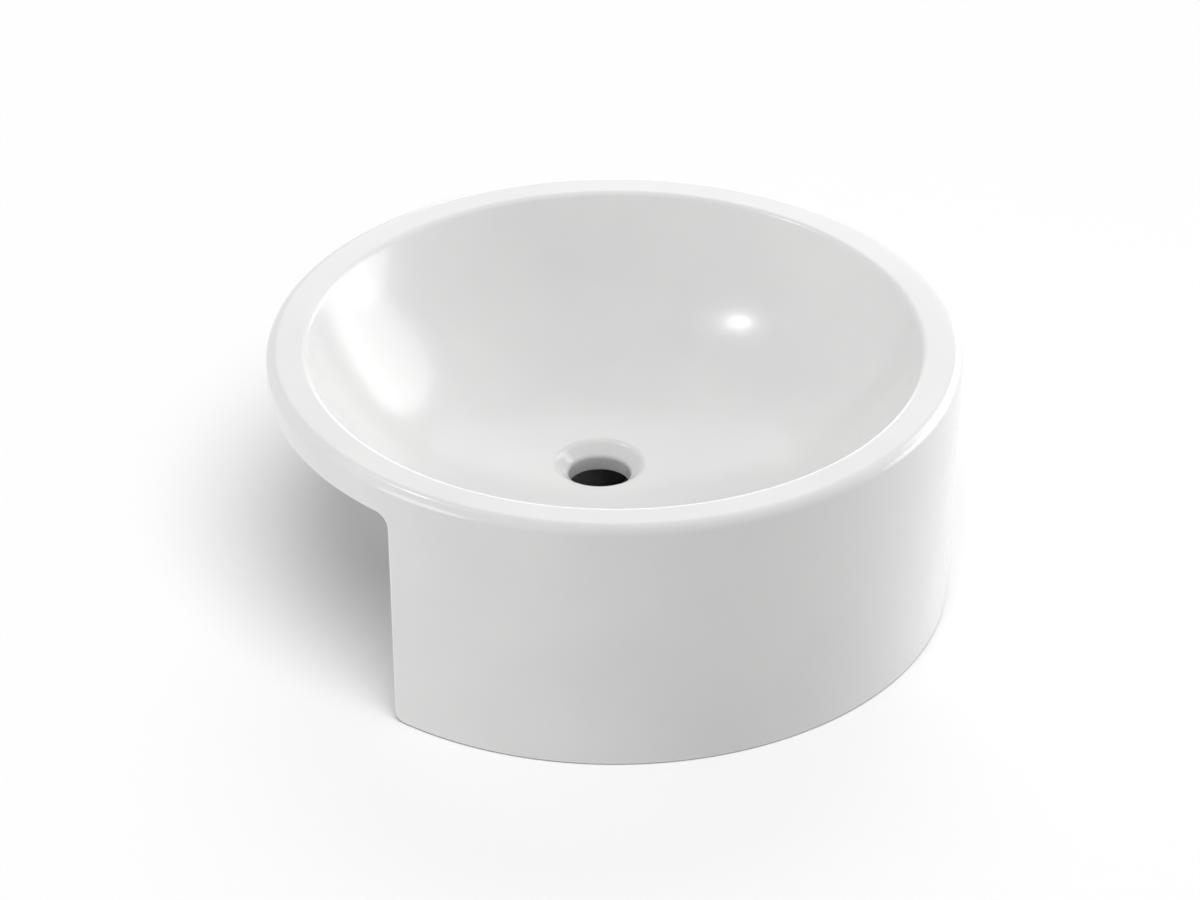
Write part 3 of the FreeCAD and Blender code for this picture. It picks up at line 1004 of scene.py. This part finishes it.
@dataclass
class Clamp:
    """One clamp under the rim: plug, stud, bracket, pad, washer and wing nut. Sizes are in millimetres."""

    place: Place
    zinc: bpy.types.Material
    nylon: bpy.types.Material
    rubber: bpy.types.Material
    circle: float = BasinBody.clamp_radius
    stud_foot: float = 104.0
    stud_top: float = 149.0
    stud_radius: float = 3.0
    root_radius: float = 2.4
    pitch: float = 1.0
    point: float = 0.8
    thread_steps: int = 24
    grooves: int = 4
    groove_pitch: float = 3.2
    groove_width: float = 1.1
    groove_length: float = 40.0
    pad_top: float = 143.0
    plug_edge: float = 0.3
    bracket_edge: float = 0.4
    washer_edge: float = 0.25
    nut_edge: float = 0.55
    pad_edge: float = 0.5
    flat_bend: float = math.radians(0.5)
    sharp_bend: float = math.radians(35.0)
    sharp_deg: float = 30.0

    @property
    def axis(self) -> Vector:
        """The stud's axis, at the height of the floor."""
        return Matrix.Rotation(self.place.angle, 3, "Z") @ Vector((0.0, self.circle, 0.0))

    def finish(self, piece: bpy.types.Object, node: str, slot: str, body: str) -> None:
        """Let a piece stand for the plain one and ride with it.

        Args:
            piece: The detailed piece.
            node: The plain piece's name, without its place.
            slot: Not used.
            body: The body that it moves with.
        """
        smooth(piece, self.sharp_deg)
        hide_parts(f"{node}_{self.place.label}")
        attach(piece, body)
        LOG.info("%s: %d faces", piece.name, len(piece.data.polygons))

    def rounded(self, node: str, name: str, width: float, material: bpy.types.Material) -> bpy.types.Object:
        """Copy a plain piece and round its sharp edges.

        Args:
            node: The plain piece's name, without its place.
            name: The copy's name, without its place.
            width: How far the rounding goes in from each edge.
            material: What the copy is made of.

        Returns:
            The rounded piece.
        """
        bm = in_millimetres(frame["nodes"][f"{node}_{self.place.label}"])
        bmesh.ops.remove_doubles(bm, verts=bm.verts, dist=COPY_MERGE)
        bmesh.ops.dissolve_limit(bm, angle_limit=self.flat_bend, verts=bm.verts, edges=bm.edges,
                                 use_dissolve_boundaries=False, delimit=set())
        sharp = [edge for edge in bm.edges
                 if len(edge.link_faces) == 2 and edge.calc_face_angle(0.0) > self.sharp_bend]
        bmesh.ops.bevel(bm, geom=sharp, affect="EDGES", offset=width, offset_type="OFFSET", segments=2,
                        profile=0.5, material=-1, clamp_overlap=True)
        bmesh.ops.remove_doubles(bm, verts=bm.verts, dist=COPY_MERGE)
        return new_object(bm, f"{name}_{self.place.label}", material)

    def stud(self) -> bpy.types.Object:
        """Cut the stud's thread: a turn's profile climbs round the axis and is cut flat at both ends.

        Returns:
            The threaded stud.
        """
        bm = bmesh.new()
        turns = math.ceil((self.stud_top - self.stud_foot) / self.pitch) + 3
        start = self.stud_foot - 1.5 * self.pitch
        # One turn of thread: each point's share of the pitch and of the thread's depth
        flank = [(0.0, 0.0), (0.125, 0.0), (0.4375, 1.0), (0.5625, 1.0), (0.875, 0.0), (1.0, 0.0)]
        rise = self.stud_radius - self.root_radius
        profile = [(self.root_radius + rise * out, start + self.pitch * along) for along, out in flank]
        edges = profile_edges(bm, profile)
        verts = list({v for e in edges for v in e.verts})
        bmesh.ops.spin(bm, geom=[*verts, *edges], cent=(0, 0, 0), axis=(0, 0, 1),
                       dvec=(0, 0, self.pitch / self.thread_steps), angle=2.0 * math.pi * turns,
                       steps=self.thread_steps * turns, use_merge=False, use_duplicate=False)
        bmesh.ops.remove_doubles(bm, verts=bm.verts, dist=COPY_MERGE)
        for height, outward in ((self.stud_foot, -1.0), (self.stud_top, 1.0)):
            cut = bmesh.ops.bisect_plane(
                bm, geom=[*bm.verts, *bm.edges, *bm.faces], dist=0.0001, plane_co=(0, 0, height),
                plane_no=(0, 0, outward), clear_outer=True)
            rim = [item for item in cut["geom_cut"] if isinstance(item, bmesh.types.BMEdge)]
            bmesh.ops.edgeloop_fill(bm, edges=rim)
        for vert in bm.verts:
            inward = min(vert.co.z - self.stud_foot, self.stud_top - vert.co.z)
            radius = vert.co.xy.length
            limit = self.stud_radius - self.point + max(0.0, inward)
            if radius > limit:
                vert.co.xy *= limit / radius
        bmesh.ops.recalc_face_normals(bm, faces=bm.faces)
        bmesh.ops.translate(bm, verts=bm.verts, vec=self.axis)
        return new_object(bm, f"threaded_stud_{self.place.label}", self.zinc)

    def pad(self) -> bpy.types.Object:
        """Round the rubber pad and press grip grooves into its top.

        Returns:
            The pad.
        """
        made = self.rounded("clamp_pad", "grip_pad", self.pad_edge, self.rubber)
        low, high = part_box(f"clamp_pad_{self.place.label}")
        middle = (Vector(low) + Vector(high)) * (0.5 / TO_METRES)
        bm = bmesh.new()
        for index in range(self.grooves):
            bar = bmesh.ops.create_cube(bm, size=1.0)["verts"]
            bmesh.ops.scale(bm, verts=bar, vec=(self.groove_length, self.groove_width, self.groove_width))
            bmesh.ops.rotate(bm, verts=bar, matrix=Matrix.Rotation(math.radians(45.0), 3, "X"))
            across = (index - 0.5 * (self.grooves - 1)) * self.groove_pitch
            bmesh.ops.translate(bm, verts=bar, vec=(0.0, across, 0.0))
        bmesh.ops.rotate(bm, verts=bm.verts, matrix=Matrix.Rotation(self.place.angle, 3, "Z"))
        bmesh.ops.translate(bm, verts=bm.verts, vec=(middle.x, middle.y, self.pad_top))
        combine(made, new_object(bm, "grooves"), Join.CUT)
        return made

    def build(self) -> None:
        """Build every piece of the clamp."""
        label = self.place.label
        self.finish(self.stud(), "stud", "zinc_steel", "basin")
        plug = self.rounded("plug", "wall_plug", self.plug_edge, self.nylon)
        self.finish(plug, "plug", "nylon", "basin")
        bracket = self.rounded("clamp_bracket", "pressed_bracket", self.bracket_edge, self.zinc)
        self.finish(bracket, "clamp_bracket", "zinc_steel", f"clamp_{label}")
        self.finish(self.pad(), "clamp_pad", "black_rubber", f"clamp_{label}")
        washer = self.rounded("washer", "flat_washer", self.washer_edge, self.zinc)
        self.finish(washer, "washer", "zinc_steel", f"washer_body_{label}")
        nut = self.rounded("wing_nut", "winged_nut", self.nut_edge, self.zinc)
        self.finish(nut, "wing_nut", "zinc_steel", f"nut_{label}")


# ---------------------------------------------------------------- studio


class LampAim(Enum):
    """What a lamp lights."""

    BASIN = "EXCLUDE"
    FLOOR = "INCLUDE"


@dataclass(frozen=True)
class Lamp:
    """A soft round lamp that faces the basin.

    It stands azimuth degrees round from the front and elevation degrees up, and is width metres across.
    mirrored says whether it shows in the glaze, and aim what it lights.
    """

    name: str
    azimuth: float
    elevation: float
    width: float
    power: float
    mirrored: bool = True
    aim: LampAim = LampAim.BASIN
    distance: float = 2.2

    def light(self) -> bpy.types.Light:
        """Make the lamp's light, a disc.

        Returns:
            The light.
        """
        data = bpy.data.lights.new(self.name, "AREA")
        data.shape = "DISK"
        data.size = self.width
        data.energy = self.power
        return data

    def build(self, floor: bpy.types.Object) -> None:
        """Add the lamp.

        Args:
            floor: The floor, which the lamp lights alone or leaves alone.
        """
        made = bpy.data.objects.new(self.name, self.light())
        bpy.context.scene.collection.objects.link(made)
        made.visible_glossy = self.mirrored
        receivers = bpy.data.collections.new(self.name + "_lights")
        receivers.objects.link(floor)
        receivers.collection_objects[0].light_linking.link_state = self.aim.value
        made.light_linking.receiver_collection = receivers
        a, e = math.radians(self.azimuth), math.radians(self.elevation)
        towards = Vector((math.sin(a) * math.cos(e), -math.cos(a) * math.cos(e), math.sin(e)))
        made.location = Vector((0, 0, 0.1)) + towards * self.distance
        made.rotation_mode = "QUATERNION"
        made.rotation_quaternion = (-towards).to_track_quat("-Z", "Y")


@dataclass(frozen=True)
class FarLamp(Lamp):
    """A lamp so far off that its light is equally strong all over the floor.

    Its width is in degrees, and its power in watts a square metre.
    """

    def light(self) -> bpy.types.Light:
        """Make the lamp's light, as even as the sun's.

        Returns:
            The light.
        """
        data = bpy.data.lights.new(self.name, "SUN")
        data.angle = math.radians(self.width)
        data.energy = self.power
        return data


@dataclass
class Studio:
    """The white floor, the lamps and the camera."""

    rim_centre: Vector = field(default_factory=lambda: Vector((0.0, 0.0, 0.2)))
    azimuth: float = math.radians(-65.0)
    elevation: float = math.radians(30.56)
    distance: float = 4.303
    focal_pixels: float = 6000.0
    rim_pixel: tuple[float, float] = (614.6, 342.9)
    room_light: float = 0.46
    floor_half: float = 12000.0
    floor_seen: float = 0.72
    floor_bounce: float = 0.55
    lamps: tuple[Lamp, ...] = (
        Lamp("right_high", 65.0, 22.0, 1.6, 17.0),
        Lamp("right_low", 40.0, 6.0, 1.3, 16.0),
        Lamp("left_back", 237.0, 8.0, 1.2, 12.0),
        Lamp("behind_high", 115.0, 31.0, 1.4, 3.2),
        Lamp("behind_low", 115.0, 11.0, 0.8, 3.0),
        Lamp("above", 0.0, 85.0, 1.4, 13.0, mirrored=False),
        Lamp("spot", 185.0, 60.0, 0.22, 3.4),
        FarLamp("ground_front", 308.0, 62.0, 42.0, 2.85, mirrored=False, aim=LampAim.FLOOR),
        FarLamp("ground_back", 110.0, 40.0, 40.0, 0.55, mirrored=False, aim=LampAim.FLOOR),
    )

    def camera(self) -> None:
        """Set the camera where the photograph was taken from."""
        towards = Vector((math.sin(self.azimuth) * math.cos(self.elevation),
                          -math.cos(self.azimuth) * math.cos(self.elevation), math.sin(self.elevation)))
        data = bpy.data.cameras.new("view")
        data.sensor_width = 36.0
        data.lens = self.focal_pixels * data.sensor_width / IMAGE_WIDTH
        data.clip_start, data.clip_end = 0.1, 50.0
        made = bpy.data.objects.new("view", data)
        bpy.context.scene.collection.objects.link(made)
        made.location = self.rim_centre + towards * self.distance
        right = UP.cross(towards).normalized()
        raised = towards.cross(right).normalized()
        across = (self.rim_pixel[0] - 0.5 * IMAGE_WIDTH) / self.focal_pixels
        above = (0.5 * IMAGE_HEIGHT - self.rim_pixel[1]) / self.focal_pixels
        aim = self.rim_centre - (right * across + raised * above) * self.distance
        made.rotation_mode = "QUATERNION"
        made.rotation_quaternion = (aim - made.location).to_track_quat("-Z", "Y")
        bpy.context.scene.camera = made

    def floor(self) -> bpy.types.Object:
        """Lay the floor: pale to the light that it throws back, and white where it is seen or mirrored.

        Returns:
            The floor.
        """
        bm = bmesh.new()
        bmesh.ops.create_grid(bm, x_segments=1, y_segments=1, size=self.floor_half)
        white = bpy.data.materials.new("white_floor")
        nodes = Nodes(white)
        shaders = [nodes.add("ShaderNodeBsdfDiffuse") for _ in range(2)]
        for shader, tone in zip(shaders, (self.floor_bounce, self.floor_seen)):
            shader.inputs["Color"].default_value = (tone, tone, tone, 1.0)
        nodes.by_sight(*(shader.outputs["BSDF"] for shader in shaders), "ShaderNodeOutputMaterial")
        made = new_object(bm, "floor", white)
        return made

    def world(self) -> None:
        """Light the room evenly and show white behind everything."""
        room = bpy.data.worlds.new("room")
        bpy.context.scene.world = room
        nodes = Nodes(room)
        shaders = [nodes.add("ShaderNodeBackground") for _ in range(2)]
        for shader, strength in zip(shaders, (self.room_light, 1.0)):
            shader.inputs["Color"].default_value = (1.0, 1.0, 1.0, 1.0)
            shader.inputs["Strength"].default_value = strength
        nodes.by_sight(*(shader.outputs["Background"] for shader in shaders), "ShaderNodeOutputWorld")

    def build(self) -> None:
        """Set up the whole studio."""
        self.camera()
        self.world()
        floor = self.floor()
        for lamp in self.lamps:
            lamp.build(floor)
        bpy.context.scene.view_settings.view_transform = "Standard"


def main() -> None:
    """Build the basin, its clamps and the studio."""
    logging.basicConfig(level=logging.INFO, format="%(message)s")
    body = BasinBody().build()
    LOG.info("%s: %d faces", body.name, len(body.data.polygons))
    zinc, nylon, rubber = (finish.material() for finish in (ZincPlate(), Nylon(), Rubber()))
    for place in Place:
        Clamp(place, zinc, nylon, rubber).build()
    Studio().build()


if __name__ == "__main__":
    main()
